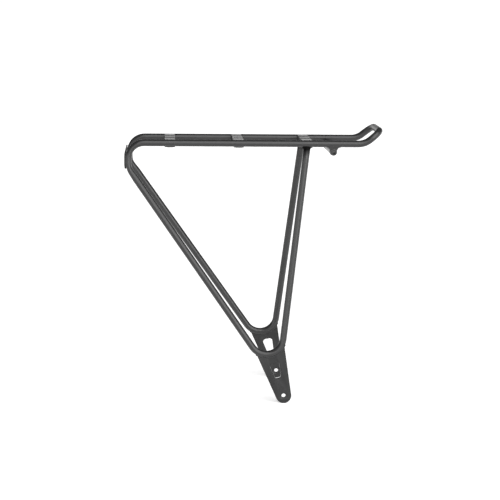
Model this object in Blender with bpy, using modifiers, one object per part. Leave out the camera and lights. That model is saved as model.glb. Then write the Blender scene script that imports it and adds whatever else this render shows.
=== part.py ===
"""Rear rack of a bicycle, built as separate welded pieces.

Frame: +X forward, +Y to the rider's left, +Z up. The origin lies midway between the two
eyelets that hang the rack on the rear dropouts. Everything is built in metres.
"""
import math

import bmesh
import bpy
from mathutils import Vector

MM = 0.001

# Tube stock and the clearance left for every weld
TUBE_R = 5.25 * MM
TUBE_WALL = 1.5 * MM
WELD_GAP = 0.3 * MM
COPE_R = TUBE_R + WELD_GAP
TUBE_BEVEL_RESOLUTION = 8

# Deck rails and the outward splay of the side frames
DECK_Z = 390.2 * MM
RAIL_Y = 46.7 * MM
SPLAY = 0.1

# Front lip: both rails turn up and close into a loop
LIP_BEND_X = 121.9 * MM
LIP_BEND_R = 28.0 * MM
LIP_RISE = math.radians(38.8)
LIP_LENGTH = 30.9 * MM
LIP_CORNER_R = 18.0 * MM

# Rear bend: a tight quarter turn, then a long one into the rear leg
REAR_X = -239.7 * MM
REAR_TURN_R = 23.6 * MM
REAR_EASE_R = 44.5 * MM
REAR_LEG_ANGLE = math.radians(34.93)

# V at the foot of each side frame, and the head of the front leg
V_CORNER_X = -9.7 * MM
V_CORNER_Z = 20.5 * MM
V_BEND_R = 26.4 * MM
LEG_HEAD_X = 33.4 * MM
LEG_STUB = 15.0 * MM

# Cross bars of the deck, flush with the crowns of the rails
BAR_PITCH = 105.5 * MM
BAR_WIDTH = 16.0 * MM
BAR_RISE = TUBE_R
BAR_DROP = 7.0 * MM
BAR_LENGTH = 90.6 * MM
BAR_TOP_CORNER_R = 1.6 * MM
BAR_BOTTOM_CORNER_R = 4.5 * MM
BAR_WALL = 1.5 * MM
GRIP_GROOVE_R = 12.0 * MM
GRIP_GROOVE_DEPTH = 0.7 * MM
GRIP_GROOVE_PITCH = 33.0 * MM

# Bridge under the front of the deck, with a tapped boss at each end for the stays
BRIDGE_X = 73.6 * MM
BRIDGE_Z = 377.5 * MM
BOSS_FACE_Y = 51.0 * MM
BOSS_LENGTH = 9.0 * MM
BOSS_BORE_R = 2.5 * MM
BOSS_BORE_DEPTH = 8.0 * MM
BOSS_LEAD_IN = 0.6 * MM
SPIGOT_LENGTH = 6.0 * MM
GUSSET_THICKNESS = 6.0 * MM
GUSSET_FILLET_R = 8.0 * MM

# Light plate behind the rear bends
LIGHT_Z = 363.8 * MM
LIGHT_HEIGHT = 27.2 * MM
LIGHT_FLAT = 12.0 * MM
LIGHT_ROLL_R = 30.0 * MM
LIGHT_THICKNESS = 2.0 * MM
LIGHT_LENGTH = 102.0 * MM
LIGHT_CORNER_R = 4.0 * MM
LIGHT_SLOT_PITCH = 50.0 * MM
LIGHT_SLOT_R = 2.75 * MM
LIGHT_SLOT_LENGTH = 6.0 * MM

# Dropout plates with the eyelet that the rack hangs on
PLATE_Y = 77.5 * MM
PLATE_THICKNESS = 5.0 * MM
PLATE_END_R = 12.1 * MM
PLATE_REAR_ANGLE = math.radians(23.5)
PLATE_FRONT_ANGLE = math.radians(8.3)
PLATE_TOP_REAR = math.radians(229.6)
PLATE_TOP_FRONT = math.radians(348.4)
PLATE_EDGE = 0.6 * MM
EYELET_R = 3.3 * MM
INNER_SEAT_R = 7.0 * MM
INNER_SEAT_DEPTH = 1.4 * MM
OUTER_SEAT_R = 6.3 * MM
OUTER_SEAT_DEPTH = 0.3 * MM
WINDOW = (
    (-24.4 * MM, 52.8 * MM, 5.0 * MM),
    (-7.8 * MM, 55.5 * MM, 4.5 * MM),
    (-4.0 * MM, 27.4 * MM, 5.5 * MM),
    (-13.2 * MM, 27.0 * MM, 3.5 * MM),
)

SIDES = {"right": -1, "left": 1}
ARC_STEP = math.radians(9)
CIRCLE_SIDES = 20

# Turns that lay a flat outline upright, and a cylinder along X or Y
UPRIGHT = (math.radians(90), 0, 0)
UPRIGHT_ACROSS = (math.radians(90), 0, math.radians(90))
ALONG_X = (0, math.radians(90), 0)
ALONG_Y = (math.radians(90), 0, 0)


def clear_scene():
    """Remove whatever the scene holds."""
    for obj in list(bpy.data.objects):
        bpy.data.objects.remove(obj, do_unlink=True)


def new_collection(name, hidden=False):
    """Link an empty collection to the scene."""
    collection = bpy.data.collections.new(name)
    collection.hide_render = hidden
    bpy.context.scene.collection.children.link(collection)
    return collection


def paint(name, grey, roughness):
    """A black coated metal with its own grey level."""
    material = bpy.data.materials.new(name)
    material.use_nodes = True
    shader = material.node_tree.nodes["Principled BSDF"]
    shader.inputs["Base Color"].default_value = (grey, grey, grey, 1.0)
    shader.inputs["Roughness"].default_value = roughness
    shader.inputs["Metallic"].default_value = 0.0
    return material


def finish(obj, grey=0.045, roughness=0.5):
    """Name the object's material after it and shade its round faces smooth."""
    obj.data.materials.clear()
    obj.data.materials.append(paint(obj.name + "_coat", grey, roughness))
    obj.data.shade_smooth()
    obj.data.set_sharp_from_angle(angle=math.radians(35))
    return obj


def arc(center, radius, start, end):
    """Points on a circle from one angle to another, both included."""
    steps = max(2, round(abs(end - start) / ARC_STEP))
    angles = (start + (end - start) * step / steps for step in range(steps + 1))
    return [
        (center[0] + radius * math.cos(angle), center[1] + radius * math.sin(angle))
        for angle in angles
    ]


def corner_arc(before, corner, after, radius):
    """Centre and points of the arc that rounds a corner between two straights."""
    back = (before - corner).normalized()
    ahead = (after - corner).normalized()
    half = back.angle(ahead) / 2
    center = corner + (back + ahead).normalized() * (radius / math.sin(half))
    first = corner + back * (radius / math.tan(half)) - center
    last = corner + ahead * (radius / math.tan(half)) - center
    sweep = math.pi - 2 * half
    steps = max(2, round(sweep / ARC_STEP))
    points = []
    for step in range(steps + 1):
        along = sweep * step / steps
        point = first * math.sin(sweep - along) + last * math.sin(along)
        points.append(center + point / math.sin(sweep))
    return center, points


def rounded(corners):
    """Outline or path through corners of (point, radius), with sharp ends if radius is 0."""
    points = []
    count = len(corners)
    for index, (corner, radius) in enumerate(corners):
        if radius == 0:
            points.append(corner)
            continue
        before = corners[index - 1][0]
        after = corners[(index + 1) % count][0]
        points.extend(corner_arc(before, corner, after, radius)[1])
    return points


def side_y(z):
    """Distance of a side frame's centre plane from the middle of the rack."""
    return RAIL_Y + (DECK_Z - z) * SPLAY


def in_side(x, z, side):
    """Point on the splayed centre plane of a side frame."""
    return Vector((x, side * side_y(z), z))


def frame_corners(side):
    """Corners and bend radii of a side frame, from the lip to the head of the front leg."""
    lip_x = LIP_BEND_X + LIP_LENGTH * math.cos(LIP_RISE)
    lip_z = DECK_Z + LIP_LENGTH * math.sin(LIP_RISE)
    knee_z = V_CORNER_Z + (V_CORNER_X - REAR_X) / math.tan(REAR_LEG_ANGLE)
    head = in_side(LEG_HEAD_X, DECK_Z, side)
    foot = in_side(V_CORNER_X, V_CORNER_Z, side)
    return [
        (Vector((lip_x, side * WELD_GAP / 2, lip_z)), 0),
        (Vector((lip_x, side * RAIL_Y, lip_z)), LIP_CORNER_R),
        (Vector((LIP_BEND_X, side * RAIL_Y, DECK_Z)), LIP_BEND_R),
        (in_side(REAR_X, DECK_Z, side), REAR_TURN_R),
        (in_side(REAR_X, knee_z, side), REAR_EASE_R),
        (foot, V_BEND_R),
        (head + (foot - head).normalized() * LEG_STUB, 0),
    ]


def link(mesh, name, collection):
    """Put a mesh into the scene as an object."""
    obj = bpy.data.objects.new(name, mesh)
    collection.objects.link(obj)
    return obj


def weld_vertices(mesh):
    """Join coincident vertices and point every face outward."""
    shape = bmesh.new()
    shape.from_mesh(mesh)
    bmesh.ops.remove_doubles(shape, verts=shape.verts, dist=0.00001)
    bmesh.ops.recalc_face_normals(shape, faces=shape.faces)
    shape.to_mesh(mesh)
    shape.free()


def evaluated(obj, name, collection):
    """Replace an object by the plain mesh that its curve or modifiers produce."""
    graph = bpy.context.evaluated_depsgraph_get()
    mesh = bpy.data.meshes.new_from_object(obj.evaluated_get(graph))
    result = link(mesh, name, collection)
    result.matrix_world = obj.matrix_world
    bpy.data.objects.remove(obj, do_unlink=True)
    mesh.name = name
    weld_vertices(mesh)
    return result


def round_bar(name, points, radius, collection, capped=True):
    """Sweep a circle along a path."""
    curve = bpy.data.curves.new(name + "_path", "CURVE")
    curve.dimensions = "3D"
    curve.bevel_depth = radius
    curve.bevel_resolution = TUBE_BEVEL_RESOLUTION
    curve.use_fill_caps = capped
    spline = curve.splines.new("POLY")
    spline.points.add(len(points) - 1)
    for spline_point, point in zip(spline.points, points):
        spline_point.co = (*point, 1.0)
    return evaluated(link(curve, name + "_path", collection), name, collection)


def tube(name, points, collection):
    """Hollow tube along a path, open at both ends."""
    skin = round_bar(name + "_skin", points, TUBE_R, collection, capped=False)
    wall = skin.modifiers.new("wall", "SOLIDIFY")
    wall.thickness = TUBE_WALL
    wall.offset = -1
    return evaluated(skin, name, collection)


def cope_tube_end(obj, end, direction, rail_point):
    """Shape the cut end of a tube to the underside of a rail that runs along X."""
    for vertex in obj.data.vertices:
        if abs((vertex.co - end).dot(direction)) > 0.01 * MM:
            continue
        offset = (vertex.co - rail_point).yz
        ahead = direction.yz
        a = ahead.dot(ahead)
        b = offset.dot(ahead)
        c = offset.dot(offset) - COPE_R ** 2
        vertex.co += direction * ((-b - math.sqrt(b * b - a * c)) / a)


def slab(name, outlines, thickness, place, turn, collection):
    """Extrude a flat outline, and any holes that follow it, evenly to both sides of its plane."""
    curve = bpy.data.curves.new(name + "_outline", "CURVE")
    curve.dimensions = "2D"
    curve.fill_mode = "BOTH"
    curve.extrude = thickness / 2
    for outline in outlines:
        spline = curve.splines.new("POLY")
        spline.points.add(len(outline) - 1)
        spline.use_cyclic_u = True
        for spline_point, (u, v) in zip(spline.points, outline):
            spline_point.co = (u, v, 0, 1)
    flat = link(curve, name + "_outline", collection)
    flat.location = place
    flat.rotation_euler = turn
    bpy.context.view_layer.update()
    return evaluated(flat, name, collection)


def cylinder(name, radius, length, place, turn, collection):
    """Solid cylinder about a point."""
    shape = bmesh.new()
    bmesh.ops.create_cone(
        shape,
        cap_ends=True,
        segments=CIRCLE_SIDES,
        radius1=radius,
        radius2=radius,
        depth=length,
    )
    mesh = bpy.data.meshes.new(name)
    shape.to_mesh(mesh)
    shape.free()
    obj = link(mesh, name, collection)
    obj.location = place
    obj.rotation_euler = turn
    return obj


def flat_outline(corners):
    """Rounded outline from (u, v, radius) corners, as pairs."""
    path = rounded([(Vector((u, v, 0)), radius) for u, v, radius in corners])
    return [(point.x, point.y) for point in path]


def make_cutter(obj):
    """Show a cutting body as a wire that never renders."""
    obj.display_type = "WIRE"
    obj.hide_render = True
    return obj


def combine(obj, other, operation):
    """Boolean of two bodies."""
    boolean = obj.modifiers.new(other.name, "BOOLEAN")
    boolean.operation = operation
    boolean.solver = "EXACT"
    boolean.object = other


def cut(obj, *cutters):
    """Subtract bodies from an object."""
    for cutter in cutters:
        combine(obj, cutter, "DIFFERENCE")


def round_edges(obj, width):
    """Break the sharp edges of a piece."""
    bevel = obj.modifiers.new("edges", "BEVEL")
    bevel.width = width
    bevel.segments = 2
    bevel.limit_method = "ANGLE"
    bevel.angle_limit = math.radians(40)


def build_side_frame(label, side, parts, cutters):
    """One bent tube from the lip to the head of the front leg. Returns bodies that cope to it."""
    corners = frame_corners(side)
    path = rounded(corners)
    frame = tube(label + "_side_frame", path, parts)
    head = in_side(LEG_HEAD_X, DECK_Z, side)
    foot = corners[5][0]
    up = (head - foot).normalized()
    cope_tube_end(frame, path[-1], up, head)
    finish(frame)

    rail_start = Vector((REAR_X + REAR_TURN_R, side * RAIL_Y, DECK_Z))
    rail_end = Vector((LIP_BEND_X, side * RAIL_Y, DECK_Z))
    rail = make_cutter(round_bar(label + "_rail_cut", [rail_start, rail_end], COPE_R, cutters))
    leg_path = [head, head - up * 4 * LEG_STUB]
    leg = make_cutter(round_bar(label + "_leg_cut", leg_path, COPE_R, cutters))
    v_points = corner_arc(corners[4][0], foot, corners[6][0], V_BEND_R)[1]
    v_points.insert(0, v_points[0] + (corners[4][0] - foot).normalized() * 2 * V_BEND_R)
    v_points.append(v_points[-1] + up * 2 * V_BEND_R)
    v_bend = make_cutter(round_bar(label + "_v_cut", v_points, COPE_R, cutters))
    return {"rail": rail, "leg": leg, "v": v_bend}


def bar_outline(inset):
    """Rounded section of a cross bar, seen along Y and measured from the deck's height."""
    half = BAR_WIDTH / 2 - inset
    top = BAR_RISE - inset
    bottom = inset - BAR_DROP
    top_r = max(BAR_TOP_CORNER_R - inset, 0.4 * MM)
    bottom_r = BAR_BOTTOM_CORNER_R - inset
    return flat_outline((
        (-half, top, top_r),
        (half, top, top_r),
        (half, bottom, bottom_r),
        (-half, bottom, bottom_r),
    ))


def build_cross_bar(label, x, frame_cutters, parts, cutters):
    """Hollow flat-topped bar between the rails, coped over them at both ends."""
    sections = [bar_outline(0), bar_outline(BAR_WALL)]
    name = label + "_cross_bar"
    bar = slab(name, sections, BAR_LENGTH, (x, 0, DECK_Z), UPRIGHT, parts)
    tools = list(frame_cutters)
    groove_z = DECK_Z + BAR_RISE + GRIP_GROOVE_R - GRIP_GROOVE_DEPTH
    for side_label, side in SIDES.items():
        place = (x, side * GRIP_GROOVE_PITCH / 2, groove_z)
        groove_name = f"{label}_bar_{side_label}_groove"
        groove = cylinder(groove_name, GRIP_GROOVE_R, 2 * BAR_WIDTH, place, ALONG_X, cutters)
        tools.append(make_cutter(groove))
    cut(bar, *tools)
    return finish(bar)


def build_bridge(parts):
    """Bridge tube under the front of the deck."""
    reach = BOSS_FACE_Y - BOSS_LENGTH - WELD_GAP
    ends = [Vector((BRIDGE_X, y, BRIDGE_Z)) for y in (-reach, reach)]
    return finish(tube("front_bridge_tube", ends, parts))


def build_stay_boss(label, side, parts):
    """Tapped boss that closes one end of the bridge tube, turned about its own axis."""
    spigot_r = TUBE_R - TUBE_WALL - WELD_GAP
    bore_end = BOSS_LENGTH - BOSS_BORE_DEPTH
    profile = (
        (0, bore_end - BOSS_BORE_R / 2),
        (BOSS_BORE_R, bore_end),
        (BOSS_BORE_R, BOSS_LENGTH - BOSS_LEAD_IN),
        (BOSS_BORE_R + BOSS_LEAD_IN, BOSS_LENGTH),
        (TUBE_R - BOSS_LEAD_IN / 2, BOSS_LENGTH),
        (TUBE_R, BOSS_LENGTH - BOSS_LEAD_IN / 2),
        (TUBE_R, 0),
        (spigot_r, 0),
        (spigot_r, BOSS_LEAD_IN - SPIGOT_LENGTH),
        (spigot_r - BOSS_LEAD_IN, -SPIGOT_LENGTH),
        (0, -SPIGOT_LENGTH),
    )
    name = label + "_stay_boss"
    mesh = bpy.data.meshes.new(name + "_profile")
    points = [(radius, 0, height) for radius, height in profile]
    edges = [(index, index + 1) for index in range(len(points) - 1)]
    mesh.from_pydata(points, edges, [])
    turned = link(mesh, name + "_profile", parts)
    turned.location = (BRIDGE_X, side * (BOSS_FACE_Y - BOSS_LENGTH), BRIDGE_Z)
    turned.rotation_euler.x = -side * math.radians(90)
    screw = turned.modifiers.new("turn", "SCREW")
    screw.steps = CIRCLE_SIDES
    screw.render_steps = CIRCLE_SIDES
    screw.use_merge_vertices = True
    screw.merge_threshold = 0.01 * MM
    bpy.context.view_layer.update()
    return finish(evaluated(turned, name, parts))


def build_boss_gusset(label, side, rail_cutter, parts, cutters):
    """Web between a rail and the boss below it, flared into both."""
    flare = TUBE_R + GUSSET_FILLET_R
    top = DECK_Z - TUBE_R / 2 - BRIDGE_Z
    front = arc((flare, 0), GUSSET_FILLET_R, math.radians(180), math.radians(100))
    rear = arc((-flare, 0), GUSSET_FILLET_R, math.radians(80), 0)
    outline = [*front, (front[-1][0], top), (rear[0][0], top), *rear]
    place = Vector((BRIDGE_X, side * RAIL_Y, BRIDGE_Z))
    name = label + "_boss_gusset"
    gusset = slab(name, [outline], GUSSET_THICKNESS, place, UPRIGHT, parts)
    boss = cylinder(label + "_boss_cut", COPE_R, 2 * GUSSET_THICKNESS, place, ALONG_Y, cutters)
    cut(gusset, rail_cutter, make_cutter(boss))
    return finish(gusset)


def slot_outline():
    """Outline of a light slot: two half circles joined by straights."""
    half = LIGHT_SLOT_LENGTH / 2
    quarter = math.pi / 2
    right = arc((half, 0), LIGHT_SLOT_R, -quarter, quarter)
    left = arc((-half, 0), LIGHT_SLOT_R, quarter, 3 * quarter)
    return right + left


def build_light_plate(parts, cutters):
    """Upright plate behind the rear bends, rolled forward at its long edges."""
    sweep = (LIGHT_HEIGHT - LIGHT_FLAT) / 2 / LIGHT_ROLL_R
    faces = []
    for radius in (LIGHT_ROLL_R, LIGHT_ROLL_R - LIGHT_THICKNESS):
        upper = arc((LIGHT_ROLL_R, LIGHT_FLAT / 2), radius, math.pi - sweep, math.pi)
        lower = arc((LIGHT_ROLL_R, -LIGHT_FLAT / 2), radius, math.pi, math.pi + sweep)
        faces.append(upper + lower)
    section = faces[0] + faces[1][::-1]
    back = REAR_X - TUBE_R - WELD_GAP - LIGHT_THICKNESS
    plate = slab("rear_light_plate", [section], LIGHT_LENGTH, (back, 0, LIGHT_Z), UPRIGHT, parts)
    half = LIGHT_LENGTH / 2
    rise = LIGHT_HEIGHT / 2
    blank_outline = flat_outline((
        (half, rise, LIGHT_CORNER_R),
        (-half, rise, LIGHT_CORNER_R),
        (-half, -rise, LIGHT_CORNER_R),
        (half, -rise, LIGHT_CORNER_R),
    ))
    place = (back, 0, LIGHT_Z)
    blank = slab("light_blank", [blank_outline], LIGHT_ROLL_R, place, UPRIGHT_ACROSS, cutters)
    combine(plate, make_cutter(blank), "INTERSECT")
    round_edges(plate, PLATE_EDGE)
    slots = []
    for label, side in SIDES.items():
        place = (back, side * LIGHT_SLOT_PITCH / 2, LIGHT_Z)
        name = label + "_light_slot"
        slot = slab(name, [slot_outline()], 8 * LIGHT_THICKNESS, place, UPRIGHT_ACROSS, cutters)
        slots.append(make_cutter(slot))
    cut(plate, *slots)
    return finish(plate)


def build_dropout_plate(label, side, v_cutter, parts, cutters):
    """Upright plate below the V, with a window and the eyelet at its foot."""
    corners = frame_corners(side)
    v_center = corner_arc(corners[4][0], corners[5][0], corners[6][0], V_BEND_R)[0]
    seam_r = V_BEND_R + TUBE_R / 5
    top = arc((v_center.x, v_center.z), seam_r, PLATE_TOP_REAR, PLATE_TOP_FRONT)
    end = arc((0, 0), PLATE_END_R, PLATE_FRONT_ANGLE, -math.pi + PLATE_REAR_ANGLE)
    outlines = [top + end, flat_outline(WINDOW)]
    place = Vector((0, side * PLATE_Y, 0))
    plate = slab(label + "_dropout_plate", outlines, PLATE_THICKNESS, place, UPRIGHT, parts)
    round_edges(plate, PLATE_EDGE)
    through = 3 * PLATE_THICKNESS
    outward = Vector((0, side, 0))
    inner_place = place - outward * (PLATE_THICKNESS / 2 - INNER_SEAT_DEPTH + through / 2)
    outer_place = place + outward * (PLATE_THICKNESS / 2 - OUTER_SEAT_DEPTH + through / 2)
    tools = [
        cylinder(label + "_eyelet", EYELET_R, through, place, ALONG_Y, cutters),
        cylinder(label + "_inner_seat", INNER_SEAT_R, through, inner_place, ALONG_Y, cutters),
        cylinder(label + "_outer_seat", OUTER_SEAT_R, through, outer_place, ALONG_Y, cutters),
    ]
    cut(plate, v_cutter, *(make_cutter(tool) for tool in tools))
    return finish(plate)


def hang_on_axis(parts):
    """Parent every piece to the axis of the eyelets."""
    axis = bpy.data.objects.new("dropout_axis", None)
    pieces = list(parts.objects)
    parts.objects.link(axis)
    for piece in pieces:
        piece.parent = axis


def main():
    clear_scene()
    parts = new_collection("rear_rack")
    cutters = new_collection("cutters", hidden=True)
    frames = {}
    for label, side in SIDES.items():
        frames[label] = build_side_frame(label, side, parts, cutters)
    rails = [frames[label]["rail"] for label in SIDES]
    legs = [frames[label]["leg"] for label in SIDES]
    build_cross_bar("rear", LEG_HEAD_X - 2 * BAR_PITCH, rails, parts, cutters)
    build_cross_bar("middle", LEG_HEAD_X - BAR_PITCH, rails, parts, cutters)
    build_cross_bar("front", LEG_HEAD_X, rails + legs, parts, cutters)
    build_bridge(parts)
    build_light_plate(parts, cutters)
    for label, side in SIDES.items():
        build_stay_boss(label, side, parts)
        build_boss_gusset(label, side, frames[label]["rail"], parts, cutters)
        build_dropout_plate(label, side, frames[label]["v"], parts, cutters)
    hang_on_axis(parts)


main()
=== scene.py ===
"""Looks of the rear rack: drawn tubes, weld beads and a satin black powder coat.

Frame: +X forward, +Y to the rider's left, +Z up, in metres, with the origin midway between
the eyelets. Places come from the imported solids' boxes and from the rack's own bend radii.
"""

import math

import bmesh
import bpy
from mathutils import Matrix, Vector, noise


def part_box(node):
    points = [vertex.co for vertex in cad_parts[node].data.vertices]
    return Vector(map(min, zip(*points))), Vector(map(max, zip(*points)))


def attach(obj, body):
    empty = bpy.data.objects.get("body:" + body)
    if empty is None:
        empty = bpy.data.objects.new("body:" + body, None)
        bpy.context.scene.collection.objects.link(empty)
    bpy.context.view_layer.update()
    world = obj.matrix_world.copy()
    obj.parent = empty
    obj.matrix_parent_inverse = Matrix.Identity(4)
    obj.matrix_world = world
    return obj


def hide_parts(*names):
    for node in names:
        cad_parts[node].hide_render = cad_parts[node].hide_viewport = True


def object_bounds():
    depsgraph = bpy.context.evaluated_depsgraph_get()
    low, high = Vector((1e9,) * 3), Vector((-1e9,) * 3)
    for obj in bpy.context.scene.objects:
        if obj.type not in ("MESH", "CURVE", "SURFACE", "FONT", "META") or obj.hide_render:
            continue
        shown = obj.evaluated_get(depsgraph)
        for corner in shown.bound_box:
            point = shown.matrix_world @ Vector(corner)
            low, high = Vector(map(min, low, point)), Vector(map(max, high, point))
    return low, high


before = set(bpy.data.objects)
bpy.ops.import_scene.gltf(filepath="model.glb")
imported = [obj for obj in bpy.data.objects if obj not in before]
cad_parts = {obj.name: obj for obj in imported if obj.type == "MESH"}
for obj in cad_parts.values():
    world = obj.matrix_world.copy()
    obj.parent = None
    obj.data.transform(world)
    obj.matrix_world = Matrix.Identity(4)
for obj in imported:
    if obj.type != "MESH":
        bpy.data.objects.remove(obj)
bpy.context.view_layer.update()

MM = 0.001
SIDES = {"right": -1, "left": 1}
BODY = "root"


def middle(node):
    """Centre of a CAD node's box."""
    low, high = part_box(node)
    return (low + high) / 2


# Tube stock and deck, read from the solids
TUBE_R = (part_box("front_bridge_tube")[1].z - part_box("front_bridge_tube")[0].z) / 2
DECK_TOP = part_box("middle_cross_bar")[1].z
DECK_Z = DECK_TOP - TUBE_R
RAIL_Y = middle("left_boss_gusset").y
LEG_HEAD_X = middle("front_cross_bar").x
FRAME_LOW, FRAME_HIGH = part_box("left_side_frame")

# Bends of a side frame
SPLAY = 0.1
LIP_RISE = math.radians(38.8)
LIP_BEND_R = 28.0 * MM
LIP_CORNER_R = 18.0 * MM
REAR_TURN_R = 23.6 * MM
REAR_EASE_R = 26.0 * MM
REAR_LEG_ANGLE = math.radians(34.93)
V_CORNER_X = -9.7 * MM
V_CORNER_Z = 20.5 * MM
V_BEND_R = 26.4 * MM

# Flattening of the rear bends, and the pinched heads of the front legs
REAR_FLATTENING = 0.22
REAR_FLAT_LENGTH = 45.0 * MM
LEAST_BEND = 0.08
BEND_BLEND = 3
HEAD_PINCH = 0.55
HEAD_PINCH_LENGTH = 20.0 * MM

# Fillet under each rail at the head of a front leg, and the painted shade laid under the rail there
LEG_FILLET_HEIGHT = 5.0 * MM
LEG_FILLET_FLARE = 3.6 * MM
LEG_FILLET_LEVELS = 12
LEG_FILLET_CURVE = 2.5
LEG_FILLET_SKIN = 0.15 * MM
LEG_FILLET_TUCK = 0.05 * MM
RAIL_SINK = 0.3 * MM
# Painted shade under the rails: depth where it is full, depth where it fades out, its shine and its
# grey
PAINTED_SHADE_SOLID = 3.5 * MM
PAINTED_SHADE_FADE = 14.0 * MM
PAINTED_SHADE_SHINE = 0.03
PAINTED_SHADE_GREY = 0.08

# Cross bars
BAR_WIDTH = 16.0 * MM
BAR_TOP_CORNER_R = 1.6 * MM
BAR_BOTTOM_CORNER_R = 4.5 * MM
GROOVE_R = 12.0 * MM
GROOVE_DEPTH = 0.7 * MM
GROOVE_MARGIN = 1.1
BAR_REACH = 38.0 * MM
BAR_END_GAP = 3.0 * MM
GROOVE_PITCH = 33.0 * MM

# Bosses that close the bridge tube
THREAD_PITCH = 1.0 * MM
THREAD_DEPTH = 0.45 * MM
BORE_R = 2.5 * MM
BORE_DEPTH = 8.0 * MM
LEAD_IN = 0.6 * MM
WEB_FILLET_R = 8.0 * MM
WEB_TUCK = 0.1 * MM
WEB_TOP_SWELL = 0.75 * MM
WEB_FOOT_SWELL = 0.4 * MM
WEB_SQUARENESS = 0.55
HALF_SEAM = 0.15 * MM
SEAM_TUCK = 0.7 * MM
SEAM_BEAD_R = 1.1 * MM
BOSS_LENGTH = 9.0 * MM
THREAD_STEPS = 10

# Dropout plates and light plate
PLATE_END_R = 12.08 * MM
PLATE_REAR_ANGLE = math.radians(23.5)
PLATE_FRONT_ANGLE = math.radians(8.3)
PLATE_TOP_REAR = math.radians(229.6)
PLATE_TOP_FRONT = math.radians(348.4)
PLATE_EDGE = 0.3 * MM
EYELET_EDGE = 0.12 * MM
EYELET_R = 3.3 * MM
INNER_SEAT_R = 7.0 * MM
INNER_SEAT_DEPTH = 1.4 * MM
OUTER_SEAT_R = 6.3 * MM
OUTER_SEAT_DEPTH = 0.3 * MM
WINDOW = (
    (-24.4 * MM, 52.8 * MM, 5.0 * MM),
    (-7.8 * MM, 55.5 * MM, 4.5 * MM),
    (-4.0 * MM, 27.4 * MM, 5.5 * MM),
    (-13.2 * MM, 27.0 * MM, 3.5 * MM),
)
LIGHT_FLAT = 12.0 * MM
LIGHT_ROLL_R = 30.0 * MM
LIGHT_THICKNESS = 2.0 * MM
LIGHT_CORNER_R = 1.5 * MM
LIGHT_SLOT_PITCH = 50.0 * MM
LIGHT_SLOT_R = 2.75 * MM
LIGHT_SLOT_LENGTH = 6.0 * MM
SLOT_CUT_DEPTH = 20.0 * MM
LIGHT_EDGE = 0.45 * MM

# Weld beads
RIPPLE_PITCH = 1.7 * MM
RIPPLE_DEPTH = 0.07
RIPPLE_LEAN = 0.45
RIPPLE_MEAN = 0.6
RIPPLE_DRIFT = 0.4
BEAD_STEP = RIPPLE_PITCH / 8
BEAD_WANDER = 0.06
BEAD_WANDER_SCALE = 180
BEAD_TIP = 0.45
BEAD_SIDES = 16
BAR_BEAD_R = 1.1 * MM
WEB_BEAD_R = 0.6 * MM
PLATE_BEAD_R = 1.2 * MM
LIGHT_BEAD_R = 0.8 * MM
LIGHT_BEAD_LENGTH = 17.0 * MM
LIGHT_BEAD_OFFSET = 1.9 * MM
PLATE_BEAD_INSET = math.radians(9)
BAR_BEAD_TUCK = 0.25 * MM
BAR_BEAD_DROP = 0.6 * MM

# Fineness of the meshes
ARC_STEP = math.radians(3)
TUBE_SIDES = 48
TUBE_STEP = 3.0 * MM
WEB_LEVELS = 24
BAR_STEPS = 8
GROOVE_STEPS = 10
SKIN_CREASE = math.radians(40)
CUT_CREASE = math.radians(30)

# Camera, floor and light
CAMERA_PLACE = Vector((-0.18694, -2.3256, 0.62476))
CAMERA_YAW = math.radians(3.36)
CAMERA_PITCH = math.radians(9.949)
CAMERA_ROLL = math.radians(0.687)
CAMERA_LENS = 107.57
FLOOR_SIZE = 60.0
FLOOR_GREY = 0.8
FLOOR_ROUGHNESS = 0.9
FLOOR_GLOW = 0.6
HORIZON_TOP = 0.13
CEILING_FROM = 0.24
CEILING_GREY = 0.1
ROOM_STRENGTH = 1.05
FRONT_STRENGTH = 2.6


def arc(center, radius, start, end):
    """Points on a circle from one angle to another, both included."""
    steps = max(2, round(abs(end - start) / ARC_STEP))
    angles = (start + (end - start) * step / steps for step in range(steps + 1))
    return [
        (center[0] + radius * math.cos(angle), center[1] + radius * math.sin(angle))
        for angle in angles
    ]


def corner_arc(before, corner, after, radius):
    """Centre and points of the arc that rounds a corner between two straights."""
    back = (before - corner).normalized()
    ahead = (after - corner).normalized()
    half = back.angle(ahead) / 2
    center = corner + (back + ahead).normalized() * (radius / math.sin(half))
    first = corner + back * (radius / math.tan(half)) - center
    last = corner + ahead * (radius / math.tan(half)) - center
    sweep = math.pi - 2 * half
    steps = max(2, round(sweep / ARC_STEP))
    points = []
    for step in range(steps + 1):
        along = sweep * step / steps
        point = first * math.sin(sweep - along) + last * math.sin(along)
        points.append(center + point / math.sin(sweep))
    return center, points


def rounded(corners):
    """Outline or path through corners of (point, radius), with sharp ends if radius is 0."""
    points = []
    for index, (corner, radius) in enumerate(corners):
        if radius == 0:
            points.append(corner)
            continue
        before = corners[index - 1][0]
        after = corners[(index + 1) % len(corners)][0]
        points.extend(corner_arc(before, corner, after, radius)[1])
    return points


def flat_outline(corners):
    """Rounded outline from (u, v, radius) corners, as pairs."""
    path = rounded([(Vector((u, v, 0)), radius) for u, v, radius in corners])
    return [(point.x, point.y) for point in path]


def resample(points, spacing):
    """Points at an even spacing along a path, ends included."""
    lengths = [0.0]
    for first, second in zip(points, points[1:]):
        lengths.append(lengths[-1] + (second - first).length)
    count = max(2, round(lengths[-1] / spacing))
    result = []
    leg = 0
    for step in range(count + 1):
        target = lengths[-1] * step / count
        while leg < len(points) - 2 and lengths[leg + 1] < target:
            leg += 1
        share = (target - lengths[leg]) / (lengths[leg + 1] - lengths[leg])
        result.append(points[leg].lerp(points[leg + 1], min(share, 1.0)))
    return result


def tangents(points, closed=False):
    """Direction of a path at each of its points."""
    count = len(points)
    result = []
    for index in range(count):
        before = points[index - 1] if closed or index else points[0]
        after = points[(index + 1) % count] if closed or index + 1 < count else points[-1]
        result.append((after - before).normalized())
    return result


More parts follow.
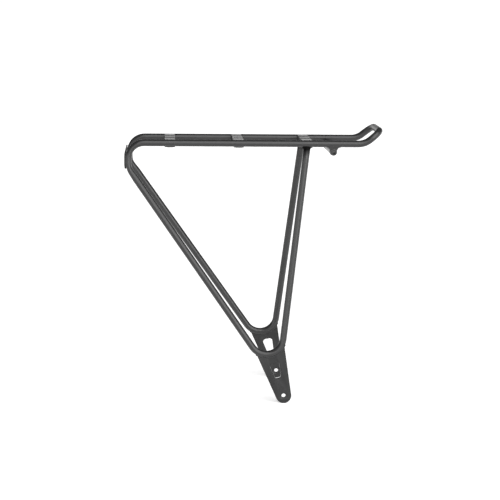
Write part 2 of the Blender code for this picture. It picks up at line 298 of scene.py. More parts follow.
def skin(name, rings, closed=False):
    """Smooth mesh over a row of equal rings, capped at both ends unless it closes on itself."""
    shape = bmesh.new()
    rows = [[shape.verts.new(point) for point in ring] for ring in rings]
    sides = len(rows[0])
    pairs = list(zip(rows, rows[1:]))
    if closed:
        pairs.append((rows[-1], rows[0]))
    for low, high in pairs:
        for index in range(sides):
            following = (index + 1) % sides
            shape.faces.new((low[index], low[following], high[following], high[index]))
    if not closed:
        shape.faces.new(rows[0][::-1])
        shape.faces.new(rows[-1])
    bmesh.ops.recalc_face_normals(shape, faces=shape.faces)
    mesh = bpy.data.meshes.new(name)
    shape.to_mesh(mesh)
    shape.free()
    mesh.shade_smooth()
    mesh.set_sharp_from_angle(angle=SKIN_CREASE)
    obj = bpy.data.objects.new(name, mesh)
    bpy.context.scene.collection.objects.link(obj)
    return obj


def head_narrowing(to_end):
    """Share by which a front leg is narrowed sideways at a distance from its head."""
    return HEAD_PINCH * (1 + math.cos(math.pi * min(to_end / HEAD_PINCH_LENGTH, 1))) / 2


def tube(name, points, radius, pinch=None):
    """Drawn tube along a path, flattened in its rear bends; pinch narrows its last end sideways."""
    points = resample(points, TUBE_STEP)
    ways = tangents(points)
    bends = []
    for index in range(len(points)):
        before = ways[max(index - 1, 0)]
        after = ways[min(index + 1, len(ways) - 1)]
        bends.append((after - before) / (2 * TUBE_STEP))
    tight = []
    for point, bend in zip(points, bends):
        bent = point.x < FRAME_LOW.x + REAR_FLAT_LENGTH and bend.length * radius > LEAST_BEND
        tight.append(min((DECK_Z - point.z) / REAR_TURN_R, 1) if bent else 0)
    rings = []
    side = ways[0].orthogonal().normalized()
    for index, (point, way) in enumerate(zip(points, ways)):
        side = (side - way * side.dot(way)).normalized()
        other = way.cross(side)
        near = slice(max(index - BEND_BLEND, 0), index + BEND_BLEND + 1)
        inward = (sum(bends[near], Vector()) / len(bends[near])).normalized()
        flattening = REAR_FLATTENING * sum(tight[near]) / len(tight[near])
        narrowing = head_narrowing((len(points) - 1 - index) * TUBE_STEP)
        ring = []
        for number in range(TUBE_SIDES):
            angle = 2 * math.pi * number / TUBE_SIDES
            spoke = (side * math.cos(angle) + other * math.sin(angle)) * radius
            if pinch:
                spoke -= pinch * (spoke.dot(pinch) * narrowing)
            ring.append(point + spoke - inward * (spoke.dot(inward) * flattening))
        rings.append(ring)
    return skin(name, rings)


def weld(name, path, radius, closed=False):
    """Rippled bead along a path of (point, outward direction)."""
    anchors = [point for point, outward in path]
    spots = resample(anchors, BEAD_STEP)
    ways = tangents(spots, closed)
    if closed:
        spots.pop()
        ways.pop()
    length = BEAD_STEP * len(spots)
    rings = []
    nearest = 0
    for index, (spot, way) in enumerate(zip(spots, ways)):
        while nearest + 1 < len(anchors) and (
            (anchors[nearest + 1] - spot).length < (anchors[nearest] - spot).length
        ):
            nearest += 1
        outward = path[nearest][1]
        outward = (outward - way * outward.dot(way)).normalized()
        other = way.cross(outward)
        run = BEAD_STEP * index
        wander = noise.noise(spot * BEAD_WANDER_SCALE)
        taper = 1.0
        if not closed:
            end = min(run, length - run) / radius
            taper = BEAD_TIP + (1 - BEAD_TIP) * math.sin(min(end, 1.0) * math.pi / 2)
        ring = []
        for number in range(BEAD_SIDES):
            angle = 2 * math.pi * number / BEAD_SIDES
            phase = run / RIPPLE_PITCH + RIPPLE_LEAN * math.cos(angle) + RIPPLE_DRIFT * wander
            ripple = abs(math.sin(math.pi * phase))
            swell = RIPPLE_DEPTH * (ripple - RIPPLE_MEAN) + BEAD_WANDER * wander
            reach = radius * taper * (1 + swell)
            ring.append(spot + (outward * math.cos(angle) + other * math.sin(angle)) * reach)
        rings.append(ring)
    return skin(name, rings, closed)


def slab(name, outlines, thickness, place, turn):
    """Extrude a flat outline, and any holes that follow it, evenly to both sides of its plane."""
    curve = bpy.data.curves.new(name + "_outline", "CURVE")
    curve.dimensions = "2D"
    curve.fill_mode = "BOTH"
    curve.extrude = thickness / 2
    for outline in outlines:
        spline = curve.splines.new("POLY")
        spline.points.add(len(outline) - 1)
        spline.use_cyclic_u = True
        for spline_point, (u, v) in zip(spline.points, outline):
            spline_point.co = (u, v, 0, 1)
    flat = bpy.data.objects.new(name + "_outline", curve)
    bpy.context.scene.collection.objects.link(flat)
    graph = bpy.context.evaluated_depsgraph_get()
    mesh = bpy.data.meshes.new_from_object(flat.evaluated_get(graph))
    bpy.data.objects.remove(flat, do_unlink=True)
    mesh.name = name
    mesh.transform(Matrix.Translation(place) @ turn)
    shape = bmesh.new()
    shape.from_mesh(mesh)
    bmesh.ops.remove_doubles(shape, verts=shape.verts, dist=0.001 * MM)
    bmesh.ops.recalc_face_normals(shape, faces=shape.faces)
    shape.to_mesh(mesh)
    shape.free()
    obj = bpy.data.objects.new(name, mesh)
    bpy.context.scene.collection.objects.link(obj)
    return obj


UPRIGHT = Matrix.Rotation(math.radians(90), 4, "X")
UPRIGHT_ACROSS = Matrix.Rotation(math.radians(90), 4, "Z") @ UPRIGHT


def bevel(obj, width, segments=3):
    """Round the sharp edges of a piece."""
    modifier = obj.modifiers.new("edges", "BEVEL")
    modifier.width = width
    modifier.segments = segments
    modifier.limit_method = "ANGLE"
    modifier.angle_limit = SKIN_CREASE
    modifier.use_clamp_overlap = True


def combine(obj, other, operation):
    """Boolean of two bodies."""
    modifier = obj.modifiers.new("cut", "BOOLEAN")
    modifier.operation = operation
    modifier.solver = "EXACT"
    modifier.object = other


def subtract(obj, cutters):
    """Cut bodies out of a piece."""
    for cutter in cutters:
        combine(obj, cutter, "DIFFERENCE")


def settle(obj, cutters=()):
    """Apply a piece's modifiers, remove what cut it, and shade it."""
    graph = bpy.context.evaluated_depsgraph_get()
    mesh = bpy.data.meshes.new_from_object(obj.evaluated_get(graph))
    obj.modifiers.clear()
    obj.data = mesh
    for cutter in cutters:
        bpy.data.objects.remove(cutter, do_unlink=True)
    mesh.shade_smooth()
    mesh.set_sharp_from_angle(angle=CUT_CREASE)
    return obj


# Side frames

def side_y(z):
    """Distance of a side frame's centre plane from the middle of the rack."""
    return RAIL_Y + (DECK_Z - z) * SPLAY


def in_side(x, z, side):
    """Point on the splayed centre plane of a side frame."""
    return Vector((x, side * side_y(z), z))


def frame_corners(side):
    """Corners and bend radii of a side frame, from the lip's middle to the front leg's head."""
    rear_x = FRAME_LOW.x + TUBE_R * (1 - REAR_FLATTENING)
    lip_x = FRAME_HIGH.x - TUBE_R
    lip_z = FRAME_HIGH.z - TUBE_R
    lip_bend_x = lip_x - (lip_z - DECK_Z) / math.tan(LIP_RISE)
    knee_z = V_CORNER_Z + (V_CORNER_X - rear_x) / math.tan(REAR_LEG_ANGLE)
    return [
        (Vector((lip_x, 0, lip_z)), 0),
        (Vector((lip_x, side * RAIL_Y, lip_z)), LIP_CORNER_R),
        (Vector((lip_bend_x, side * RAIL_Y, DECK_Z)), LIP_BEND_R),
        (in_side(rear_x, DECK_Z, side), REAR_TURN_R),
        (in_side(rear_x, knee_z, side), REAR_EASE_R),
        (in_side(V_CORNER_X, V_CORNER_Z, side), V_BEND_R),
        (in_side(LEG_HEAD_X, DECK_Z, side), 0),
    ]


def v_center(side):
    """Centre of the V's bend."""
    corners = frame_corners(side)
    return corner_arc(corners[4][0], corners[5][0], corners[6][0], V_BEND_R)[0]


def build_side_frame(label, side):
    """One bent tube, whose front leg ends inside the rail's wall."""
    name = label + "_side_frame"
    corners = frame_corners(side)
    head = corners[6][0]
    foot = corners[5][0]
    corners[6] = (head - (head - foot).normalized() * TUBE_R / 2, 0)
    across = Vector((0, 1, side * SPLAY)).normalized()
    piece = tube(name + "_tube", rounded(corners), TUBE_R, across)
    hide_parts(name)
    return piece


def build_leg_fillet(label, side):
    """Hollow fillet round the head of a front leg, just under the rail, where painted shade is
    laid.
    """
    corners = frame_corners(side)
    head = corners[6][0]
    up = (head - corners[5][0]).normalized()
    across = up.cross(Vector((1, 0, 0))).normalized()
    forward = across.cross(up)
    rings = []
    for level in range(LEG_FILLET_LEVELS + 1):
        share = level / LEG_FILLET_LEVELS
        below_head = TUBE_R / 2 + LEG_FILLET_HEIGHT * (1 - share)
        half_depth = TUBE_R * (1 - head_narrowing(below_head)) + LEG_FILLET_SKIN
        half_width = TUBE_R - LEG_FILLET_TUCK + LEG_FILLET_FLARE * share ** LEG_FILLET_CURVE
        ring = []
        for number in range(TUBE_SIDES):
            angle = 2 * math.pi * number / TUBE_SIDES
            spoke = forward * (math.cos(angle) * half_width)
            spoke += across * (math.sin(angle) * half_depth)
            start = head - up * 4 * TUBE_R + spoke
            offset = (start - head).yz
            ahead = up.yz
            a = ahead.dot(ahead)
            b = offset.dot(ahead)
            c = offset.dot(offset) - (TUBE_R - RAIL_SINK) ** 2
            rise = (-b - math.sqrt(max(b * b - a * c, 0))) / a
            ring.append(start + up * (rise - LEG_FILLET_HEIGHT * (1 - share)))
        rings.append(ring)
    return skin(label + "_leg_fillet", rings)


# Cross bars

def bar_outline():
    """Section of a cross bar, measured from its centre in X and from the rails' height."""
    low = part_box("middle_cross_bar")[0].z - DECK_Z
    half = BAR_WIDTH / 2
    return flat_outline((
        (-half, TUBE_R, BAR_TOP_CORNER_R),
        (half, TUBE_R, BAR_TOP_CORNER_R),
        (half, low, BAR_BOTTOM_CORNER_R),
        (-half, low, BAR_BOTTOM_CORNER_R),
    ))


def reach_to_rail(v, limit):
    """How far out a bar reaches at height v: to the rail's skin, and on top to its crown."""
    if v <= -TUBE_R:
        return limit
    reach = RAIL_Y - math.sqrt(max(TUBE_R ** 2 - v ** 2, 0))
    return min(reach, limit) if v < 0 else reach


def groove_depth(y):
    """Depth of the grip grooves across a bar's top."""
    depth = 0.0
    for side in SIDES.values():
        offset = abs(y - side * GROOVE_PITCH / 2)
        if offset < GROOVE_R:
            depth = max(depth, math.sqrt(GROOVE_R ** 2 - offset ** 2) - GROOVE_R + GROOVE_DEPTH)
    return depth


def build_cross_bar(label):
    """Flat-topped bar, coped over the rails at both ends and grooved for grip."""
    node = label + "_cross_bar"
    x = middle(node).x
    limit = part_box(node)[1].y
    outline = bar_outline()
    groove_half = math.sqrt(GROOVE_R ** 2 - (GROOVE_R - GROOVE_DEPTH) ** 2)
    stations = {BAR_REACH * step / BAR_STEPS for step in range(-BAR_STEPS, BAR_STEPS + 1)}
    for side in SIDES.values():
        for step in range(-GROOVE_STEPS, GROOVE_STEPS + 1):
            offset = groove_half * GROOVE_MARGIN * step / GROOVE_STEPS
            stations.add(side * GROOVE_PITCH / 2 + offset)
    stations = sorted(stations)
    inner = [stations[0] - BAR_END_GAP, *stations, stations[-1] + BAR_END_GAP]
    rings = []
    for end in (-1, None, 1):
        for y in inner if end is None else (0,):
            top = TUBE_R - groove_depth(y)
            ring = []
            for u, v in outline:
                along = y if end is None else end * reach_to_rail(v, limit)
                height = v if end else min(v, top)
                ring.append(Vector((x + u, along, DECK_Z + height)))
            rings.append(ring)
    piece = skin(node + "_shell", rings)
    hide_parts(node)
    return piece


def build_bar_weld(label, side_label, side):
    """Bead round the sides and underside of one end of a cross bar, ground flush on top."""
    node = label + "_cross_bar"
    x = middle(node).x
    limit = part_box(node)[1].y
    highest = TUBE_R - BAR_TOP_CORNER_R
    outline = bar_outline()
    first_low = next(index for index, (u, v) in enumerate(outline) if u > 0 and v < highest)
    low_part = [spot for spot in outline[first_low:] + outline[:first_low] if spot[1] < highest]
    path = []
    for u, v in low_part:
        contact = max(v, BAR_BEAD_TUCK - TUBE_R)
        y = reach_to_rail(contact, limit)
        section = Vector((u, 0, v)).normalized()
        rail_out = Vector((0, y - RAIL_Y, contact)).normalized()
        outward = (section + rail_out).normalized()
        outward.y *= side
        height = max(v, contact - BAR_BEAD_DROP)
        path.append((Vector((x + u, side * y, DECK_Z + height)), outward))
    return weld(f"{side_label}_{label}_bar_weld", path, BAR_BEAD_R)


# Bridge, bosses and webs

def build_bridge():
    """Bridge tube under the front of the deck."""
    low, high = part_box("front_bridge_tube")
    center = middle("front_bridge_tube")
    ends = [Vector((center.x, low.y, center.z)), Vector((center.x, high.y, center.z))]
    piece = tube("front_bridge_skin", ends, TUBE_R)
    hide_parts("front_bridge_tube")
    return piece


def build_boss(label, side):
    """Turned boss with a threaded bore, closing one end of the bridge tube."""
    node = label + "_stay_boss"
    center = middle(node)
    low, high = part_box(node)
    face = high.y if side > 0 else -low.y
    shoulder = face - BOSS_LENGTH
    profile = [
        (TUBE_R - 0.4 * MM, shoulder - 0.3 * MM, 0),
        (TUBE_R, shoulder + 0.1 * MM, 0),
        (TUBE_R, face - LEAD_IN, 0),
        (TUBE_R - LEAD_IN * 0.12, face - LEAD_IN * 0.4, 0),
        (TUBE_R - LEAD_IN * 0.4, face - LEAD_IN * 0.12, 0),
        (TUBE_R - LEAD_IN, face, 0),
        (BORE_R + THREAD_DEPTH + LEAD_IN / 2, face, 0),
        (BORE_R + THREAD_DEPTH, face - LEAD_IN / 2, 0),
    ]
    turns = (BORE_DEPTH - LEAD_IN) / THREAD_PITCH
    for step in range(round(turns * THREAD_STEPS) + 1):
        y = face - LEAD_IN / 2 - step * THREAD_PITCH / THREAD_STEPS
        profile.append((BORE_R, y, THREAD_DEPTH))
    profile.append((BORE_R * 0.5, face - BORE_DEPTH, 0))
    rings = []
    for radius, y, thread in profile:
        ring = []
        for number in range(TUBE_SIDES):
            turn = number / TUBE_SIDES
            flank = abs(2 * ((y / THREAD_PITCH + turn) % 1.0) - 1)
            reach = radius + thread * min(max(1.6 * flank - 0.3, 0.0), 1.0)
            angle = 2 * math.pi * turn
            spoke = Vector((math.cos(angle), 0, math.sin(angle))) * reach
            ring.append(Vector((center.x, side * y, center.z)) + spoke)
        rings.append(ring)
    piece = skin(node + "_turned", rings)
    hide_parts(node)
    return piece


def build_boss_seam(label, side):
    """Ring bead between the bridge tube and a boss."""
    center = middle("front_bridge_tube")
    center.y = side * (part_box("front_bridge_tube")[1].y + HALF_SEAM)
    path = []
    for x, z in arc((0, 0), 1, 0, 2 * math.pi):
        outward = Vector((x, 0, z))
        path.append((center + outward * (TUBE_R - SEAM_TUCK), outward))
    return weld(label + "_boss_seam_weld", path, SEAM_BEAD_R, closed=True)


def web_half(height):
    """Half length of a web at a height above the bridge's axis."""
    height = min(max(height, 0.0), WEB_FILLET_R * 0.985)
    return TUBE_R + WEB_FILLET_R - math.sqrt(WEB_FILLET_R ** 2 - height ** 2)


def squared_off(value, power):
    """Sine or cosine raised to a power that squares off a round section."""
    return math.copysign(abs(value) ** power, value)


def build_web(label):
    """Web between a rail and the boss below it, swelling smoothly into both."""
    node = label + "_boss_gusset"
    low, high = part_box(node)
    center = middle("front_bridge_tube")
    center.y = middle(node).y
    half_thick = (high.y - low.y) / 2
    top = DECK_Z - TUBE_R * 0.5 - center.z
    rings = []
    for level in range(WEB_LEVELS + 1):
        height = top * level / WEB_LEVELS
        length = web_half(height) - WEB_TUCK
        swell = WEB_TOP_SWELL * (height / top) ** 3 + WEB_FOOT_SWELL * (1 - height / top) ** 3
        ring = []
        for number in range(TUBE_SIDES):
            angle = 2 * math.pi * number / TUBE_SIDES
            u = squared_off(math.cos(angle), WEB_SQUARENESS) * length
            v = squared_off(math.sin(angle), WEB_SQUARENESS) * (half_thick + swell)
            ring.append(center + Vector((u, v, height)))
        rings.append(ring)
    piece = skin(node + "_web", rings)
    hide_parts(node)
    return piece


def build_web_weld(label, side):
    """Bead round the top of a web, under the rail."""
    node = label + "_boss_gusset"
    low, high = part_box(node)
    center = middle("front_bridge_tube")
    half_thick = (high.y - low.y) / 2 + 0.6 * MM
    path = []
    for u, v in arc((0, 0), 1, 0, 2 * math.pi):
        offset = squared_off(v, 0.6) * half_thick
        drop = math.sqrt(TUBE_R ** 2 - offset ** 2)
        length = web_half(DECK_Z - drop - center.z) - 0.6 * MM
        x = center.x + squared_off(u, 0.6) * length
        point = Vector((x, side * RAIL_Y + offset, DECK_Z - drop))
        away = Vector((u, v, 0)) * 0.7
        down = Vector((0, offset, -drop)).normalized() * 0.6
        path.append((point, (away + down).normalized()))
    return weld(label + "_web_weld", path, WEB_BEAD_R, closed=True)


# Plates

def build_light_plate():
    """Upright plate behind the rear bends, rolled forward at its edges, with two light slots."""
    node = "rear_light_plate"
    low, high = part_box(node)
    center = middle(node)
    height = high.z - low.z
    roll_chord = (height - LIGHT_FLAT) / 2
    sweep = math.asin(roll_chord / LIGHT_ROLL_R)
    faces = []
    for radius in (LIGHT_ROLL_R, LIGHT_ROLL_R - LIGHT_THICKNESS):
        upper = arc((LIGHT_ROLL_R, LIGHT_FLAT / 2), radius, math.pi - sweep, math.pi)
        lower = arc((LIGHT_ROLL_R, -LIGHT_FLAT / 2), radius, math.pi, math.pi + sweep)
        faces.append(upper + lower)
    section = faces[0] + faces[1][::-1]
    place = Vector((low.x, 0, center.z))
    plate = slab(node + "_sheet", [section], high.y - low.y, place, UPRIGHT)
    half_length = (high.y - low.y) / 2
    half_height = height / 2
    blank_outline = flat_outline((
        (half_length, half_height, LIGHT_CORNER_R),
        (-half_length, half_height, LIGHT_CORNER_R),
        (-half_length, -half_height, LIGHT_CORNER_R),
        (half_length, -half_height, LIGHT_CORNER_R),
    ))
    blank = slab("light_blank", [blank_outline], LIGHT_ROLL_R, place, UPRIGHT_ACROSS)
    combine(plate, blank, "INTERSECT")
    slots = []
    half_slot = LIGHT_SLOT_LENGTH / 2
    quarter = math.pi / 2
    outline = arc((half_slot, 0), LIGHT_SLOT_R, -quarter, quarter)
    outline += arc((-half_slot, 0), LIGHT_SLOT_R, quarter, 3 * quarter)
    for side in SIDES.values():
        slot_place = Vector((low.x, side * LIGHT_SLOT_PITCH / 2, center.z))
        slots.append(slab("slot_cut", [outline], SLOT_CUT_DEPTH, slot_place, UPRIGHT_ACROSS))
    subtract(plate, slots)
    bevel(plate, LIGHT_EDGE)
    settle(plate, [blank, *slots])
    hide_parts(node)
    return plate


def build_light_weld(label, side, flank):
    """Bead along one flank of a rear bend, against the light plate."""
    plate_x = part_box("rear_light_plate")[0].x + LIGHT_THICKNESS
    foot = middle("rear_light_plate").z - LIGHT_BEAD_LENGTH / 2
    path = []
    steps = 24
    for step in range(steps + 1):
        z = foot + LIGHT_BEAD_LENGTH * step / steps
        y = side * side_y(z) + flank * LIGHT_BEAD_OFFSET
        path.append((Vector((plate_x - 0.1 * MM, y, z)), Vector((0.7, flank, 0)).normalized()))
    return weld(f"{label}_light_weld_{'in' if flank * side < 0 else 'out'}", path, LIGHT_BEAD_R)


def build_dropout_plate(label, side):
    """Upright plate below the V, with a window and a seated eyelet."""
    node = label + "_dropout_plate"
    low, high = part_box(node)
    place = Vector((0, middle(node).y, 0))
    thickness = high.y - low.y
    bend = v_center(side)
    seam_r = V_BEND_R + TUBE_R / 5
    top = arc((bend.x, bend.z), seam_r, PLATE_TOP_REAR, PLATE_TOP_FRONT)
    end = arc((0, 0), PLATE_END_R, PLATE_FRONT_ANGLE, -math.pi + PLATE_REAR_ANGLE)
    plate = slab(node + "_blank", [top + end, flat_outline(WINDOW)], thickness, place, UPRIGHT)
    bevel(plate, PLATE_EDGE)
    plate = settle(plate)
    through = 3 * thickness
    circle = 2 * math.pi
    inner = place - Vector((0, side * (thickness / 2 - INNER_SEAT_DEPTH + through / 2), 0))
    outer = place + Vector((0, side * (thickness / 2 - OUTER_SEAT_DEPTH + through / 2), 0))
    cutters = [
        slab("eyelet_cut", [arc((0, 0), EYELET_R, 0, circle)[:-1]], through, place, UPRIGHT),
        slab("inner_cut", [arc((0, 0), INNER_SEAT_R, 0, circle)[:-1]], through, inner, UPRIGHT),
        slab("outer_cut", [arc((0, 0), OUTER_SEAT_R, 0, circle)[:-1]], through, outer, UPRIGHT),
    ]
    subtract(plate, cutters)
    bevel(plate, EYELET_EDGE, segments=2)
    settle(plate, cutters)
    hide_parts(node)
    return plate


def build_plate_weld(label, side, face):
    """Bead along the V's bend on one face of a dropout plate; face is 1 outside and -1 inside."""
    node = label + "_dropout_plate"
    low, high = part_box(node)
    face_y = middle(node).y + side * face * (high.y - low.y) / 2
    bend = v_center(side)
    path = []
    start = PLATE_TOP_REAR + PLATE_BEAD_INSET
    end = PLATE_TOP_FRONT - PLATE_BEAD_INSET
    for u, v in arc((0, 0), 1, start, end):
        tube_y = side * side_y(bend.z + V_BEND_R * v)
        gap = min(abs(face_y - tube_y), TUBE_R * 0.97)
        reach = V_BEND_R + math.sqrt(TUBE_R ** 2 - gap ** 2)
        point = Vector((bend.x + reach * u, face_y, bend.z + reach * v))
        outward = (Vector((u, 0, v)) * 0.7 + Vector((0, side * face, 0))).normalized()
        path.append((point, outward))
    return weld(f"{label}_plate_weld_{'out' if face > 0 else 'in'}", path, PLATE_BEAD_R)


# Finish

def coat(name, grey, roughness, shine, painted_rail_shade=False):
    """Satin black powder coat: fine peel, cloudy grey, thinner on edges, and optionally a painted
    shade that darkens and dulls it towards the rails' undersides.
    """
    material = bpy.data.materials.new(name)
    material.use_nodes = True
    nodes = material.node_tree.nodes
    links = material.node_tree.links
    shader = nodes["Principled BSDF"]
    place = nodes.new("ShaderNodeTexCoord")

    def clouds(scale, detail):
        texture = nodes.new("ShaderNodeTexNoise")
        texture.inputs["Scale"].default_value = scale
        texture.inputs["Detail"].default_value = detail
        links.new(place.outputs["Object"], texture.inputs["Vector"])
        return texture

    def ranged(source, low, high, from_low=0.3, from_high=0.7):
        spread = nodes.new("ShaderNodeMapRange")
        spread.inputs["From Min"].default_value = from_low
        spread.inputs["From Max"].default_value = from_high
        spread.inputs["To Min"].default_value = low
        spread.inputs["To Max"].default_value = high
        links.new(source, spread.inputs["Value"])
        return spread

    broad = clouds(scale=22, detail=4)
    grain = clouds(scale=1900, detail=3)
    peel = clouds(scale=620, detail=2)
    edge = nodes.new("ShaderNodeNewGeometry")

    tone = ranged(broad.outputs["Fac"], 0.88, 1.12)
    speck = ranged(grain.outputs["Fac"], 0.9, 1.12)
    worn = ranged(edge.outputs["Pointiness"], 0.0, 0.35, 0.52, 0.62)
    shade = nodes.new("ShaderNodeMath")
    shade.operation = "MULTIPLY"
    links.new(tone.outputs["Result"], shade.inputs[0])
    links.new(speck.outputs["Result"], shade.inputs[1])
    lift = nodes.new("ShaderNodeMath")
    lift.operation = "ADD"
    links.new(shade.outputs["Value"], lift.inputs[0])
    links.new(worn.outputs["Result"], lift.inputs[1])
    ramp = nodes.new("ShaderNodeMix")
    ramp.data_type = "RGBA"
    ramp.inputs["A"].default_value = (0, 0, 0, 1)
    ramp.inputs["B"].default_value = (2 * grey, 2 * grey, 2.03 * grey, 1)
    half = nodes.new("ShaderNodeMath")
    half.operation = "MULTIPLY"
    half.inputs[1].default_value = 0.5
    links.new(lift.outputs["Value"], half.inputs[0])
    links.new(half.outputs["Value"], ramp.inputs["Factor"])
    links.new(ramp.outputs["Result"], shader.inputs["Base Color"])

    gloss = ranged(broad.outputs["Fac"], roughness - 0.04, roughness + 0.04)
    links.new(gloss.outputs["Result"], shader.inputs["Roughness"])
    shader.inputs["Specular IOR Level"].default_value = shine
    # Painted shade: the coat turns darker and less shiny towards the rails' undersides, standing in
    # for the shadow there
    if painted_rail_shade:
        axes = nodes.new("ShaderNodeSeparateXYZ")
        links.new(place.outputs["Object"], axes.inputs["Vector"])
        under_rail = DECK_Z - TUBE_R
        depth = (under_rail - PAINTED_SHADE_FADE, under_rail - PAINTED_SHADE_SOLID)
        fade = ranged(axes.outputs["Z"], shine, PAINTED_SHADE_SHINE, *depth)
        links.new(fade.outputs["Result"], shader.inputs["Specular IOR Level"])
        dark = ranged(axes.outputs["Z"], 0.5, PAINTED_SHADE_GREY, *depth)
        links.new(dark.outputs["Result"], half.inputs[1])

    coarse = nodes.new("ShaderNodeBump")
    coarse.inputs["Strength"].default_value = 0.35
    coarse.inputs["Distance"].default_value = 0.06 * MM
    links.new(peel.outputs["Fac"], coarse.inputs["Height"])
    fine = nodes.new("ShaderNodeBump")
    fine.inputs["Strength"].default_value = 0.3
    fine.inputs["Distance"].default_value = 0.02 * MM
    links.new(grain.outputs["Fac"], fine.inputs["Height"])
    links.new(coarse.outputs["Normal"], fine.inputs["Normal"])
    links.new(fine.outputs["Normal"], shader.inputs["Normal"])
    return material


def dress(piece, material):
    """Give a piece its material and its body."""
    piece.data.materials.clear()
    piece.data.materials.append(material)
    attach(piece, BODY)


def repaint(piece, material, inside):
    """Give a second material to the faces whose centres pass a test."""
    piece.data.materials.append(material)
    for face in piece.data.polygons:
        if inside(face.center):
            face.material_index = len(piece.data.materials) - 1


def on_lip_top(spot):
    """Whether a spot is on the straight run across the top of the lip."""
    return spot.x > FRAME_HIGH.x - 3 * TUBE_R and abs(spot.y) < RAIL_Y - LIP_CORNER_R * 0.6


def on_leg_head(spot):
    """Whether a spot is on the head of a front leg, just under the rail."""
    beside = abs(spot.x - LEG_HEAD_X) < 2.5 * TUBE_R
    return beside and DECK_Z - TUBE_R - PAINTED_SHADE_FADE < spot.z < DECK_Z - TUBE_R


def in_groove(spot):
    """Whether a spot on a cross bar lies in one of its grip grooves."""
    return groove_depth(spot.y) > GROOVE_DEPTH * 0.15 and spot.z > DECK_Z + TUBE_R - 1.5 * MM


def in_eyelet(spot):
    """Whether a spot on a dropout plate lies in its eyelet's bore."""
    return math.hypot(spot.x, spot.z) < EYELET_R + 0.05 * MM


def build_rack():
    """Every visible piece of the rack."""
    tube_coat = coat("tube_coat", 0.018, 0.27, 0.5)
    plate_coat = coat("plate_coat", 0.012, 0.3, 0.38)
    bar_coat = coat("bar_coat", 0.02, 0.25, 0.62)
    bead_coat = coat("bead_coat", 0.016, 0.3, 0.45)
    # Painted shade: near-black, dull coat for the eyelet bores
    bore_shade_coat = coat("bore_shade_coat", 0.003, 0.5, 0.06)
    # Painted shade under the rails, for the front legs' heads
    leg_head_shade_coat = coat("leg_head_shade_coat", 0.018, 0.3, 0.5, painted_rail_shade=True)
    # Painted shade: darker, duller coat for the grip grooves
    groove_shade_coat = coat("groove_shade_coat", 0.014, 0.42, 0.3)
    # Painted dimmer reflection: a less shiny copy of the tube coat for the lip's top run
    lip_dim_reflection_coat = coat("lip_dim_reflection_coat", 0.02, 0.3, 0.46)
    bracket_coat = coat("bracket_coat", 0.006, 0.36, 0.08)
    for label, side in SIDES.items():
        side_frame = build_side_frame(label, side)
        dress(side_frame, tube_coat)
        # Painted dimmer reflection on the lip's top run
        repaint(side_frame, lip_dim_reflection_coat, on_lip_top)
        # Painted shade under the rails on the leg heads and their fillets
        repaint(side_frame, leg_head_shade_coat, on_leg_head)
        dress(build_leg_fillet(label, side), leg_head_shade_coat)
        dress(build_boss(label, side), tube_coat)
        dress(build_boss_seam(label, side), bead_coat)
        dress(build_web(label), tube_coat)
        dress(build_web_weld(label, side), bead_coat)
        plate = build_dropout_plate(label, side)
        dress(plate, plate_coat)
        # Painted shade in the eyelet's bore
        repaint(plate, bore_shade_coat, in_eyelet)
        for face in (-1, 1):
            dress(build_plate_weld(label, side, face), bead_coat)
            dress(build_light_weld(label, side, face), bead_coat)
        for bar in ("rear", "middle", "front"):
            dress(build_bar_weld(bar, label, side), bead_coat)
    for bar in ("rear", "middle", "front"):
        cross_bar = build_cross_bar(bar)
        dress(cross_bar, bar_coat)
        # Painted shade in the grip grooves
        repaint(cross_bar, groove_shade_coat, in_groove)
    dress(build_bridge(), tube_coat)
    dress(build_light_plate(), bracket_coat)


# Studio

def build_camera():
    """Camera at the right-hand side of the rack, looking slightly down."""
    forward = Vector((
        math.sin(CAMERA_YAW) * math.cos(CAMERA_PITCH),
        math.cos(CAMERA_YAW) * math.cos(CAMERA_PITCH),
        -math.sin(CAMERA_PITCH),
    ))
    level = Vector((math.cos(CAMERA_YAW), -math.sin(CAMERA_YAW), 0))
    upward = level.cross(forward)
    right = level * math.cos(CAMERA_ROLL) + upward * math.sin(CAMERA_ROLL)
    top = upward * math.cos(CAMERA_ROLL) - level * math.sin(CAMERA_ROLL)
    turn = Matrix((right, top, -forward)).transposed().to_4x4()
    data = bpy.data.cameras.new("camera")
    data.lens = CAMERA_LENS
    data.clip_end = 100
    camera = bpy.data.objects.new("camera", data)
    camera.matrix_world = Matrix.Translation(CAMERA_PLACE) @ turn
    bpy.context.scene.collection.objects.link(camera)
    bpy.context.scene.camera = camera


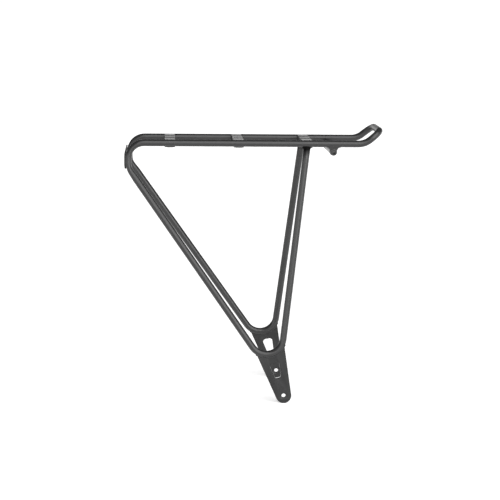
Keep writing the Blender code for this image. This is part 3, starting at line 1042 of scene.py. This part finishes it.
def build_floor():
    """Plain white floor just below the plates."""
    shape = bmesh.new()
    bmesh.ops.create_grid(shape, x_segments=8, y_segments=8, size=FLOOR_SIZE / 2)
    mesh = bpy.data.meshes.new("floor")
    shape.to_mesh(mesh)
    shape.free()
    floor = bpy.data.objects.new("floor", mesh)
    floor.location.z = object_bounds()[0].z
    material = bpy.data.materials.new("white_floor")
    material.use_nodes = True
    shader = material.node_tree.nodes["Principled BSDF"]
    shader.inputs["Base Color"].default_value = (FLOOR_GREY, FLOOR_GREY, FLOOR_GREY, 1)
    shader.inputs["Roughness"].default_value = FLOOR_ROUGHNESS
    shader.inputs["Emission Color"].default_value = (1, 1, 1, 1)
    shader.inputs["Emission Strength"].default_value = FLOOR_GLOW
    mesh.materials.append(material)
    bpy.context.scene.collection.objects.link(floor)


def sun(name, azimuth, elevation, spread, strength):
    """Distant soft box; azimuth 0 faces the rack's right side and grows towards its front."""
    data = bpy.data.lights.new(name, "SUN")
    data.angle = math.radians(spread)
    data.energy = strength
    light = bpy.data.objects.new(name, data)
    turn = math.radians(azimuth)
    tilt = math.radians(90 - elevation)
    light.rotation_euler = (tilt, 0, turn)
    bpy.context.scene.collection.objects.link(light)


def build_light():
    """White room, brightest at the horizon on the rack's right, with one soft box."""
    world = bpy.data.worlds.new("room")
    bpy.context.scene.world = world
    world.use_nodes = True
    nodes = world.node_tree.nodes
    links = world.node_tree.links
    background = nodes["Background"]
    place = nodes.new("ShaderNodeTexCoord")
    axes = nodes.new("ShaderNodeSeparateXYZ")
    links.new(place.outputs["Generated"], axes.inputs["Vector"])
    ramp = nodes.new("ShaderNodeValToRGB")
    ramp.color_ramp.elements[0].position = HORIZON_TOP
    ramp.color_ramp.elements[0].color = (1, 1, 1, 1)
    ramp.color_ramp.elements[1].position = CEILING_FROM
    ramp.color_ramp.elements[1].color = (CEILING_GREY, CEILING_GREY, CEILING_GREY, 1)
    links.new(axes.outputs["Z"], ramp.inputs["Fac"])
    links.new(ramp.outputs["Color"], background.inputs["Color"])
    front = nodes.new("ShaderNodeMapRange")
    front.inputs["From Min"].default_value = 0.1
    front.inputs["From Max"].default_value = -0.6
    front.inputs["To Min"].default_value = ROOM_STRENGTH
    front.inputs["To Max"].default_value = FRONT_STRENGTH
    links.new(axes.outputs["Y"], front.inputs["Value"])
    links.new(front.outputs["Result"], background.inputs["Strength"])

    sun("key", azimuth=30, elevation=36, spread=70, strength=3.0)


def main():
    """Build the rack and its studio."""
    build_rack()
    build_camera()
    build_floor()
    build_light()
    bpy.context.scene.view_settings.view_transform = "Standard"


main()
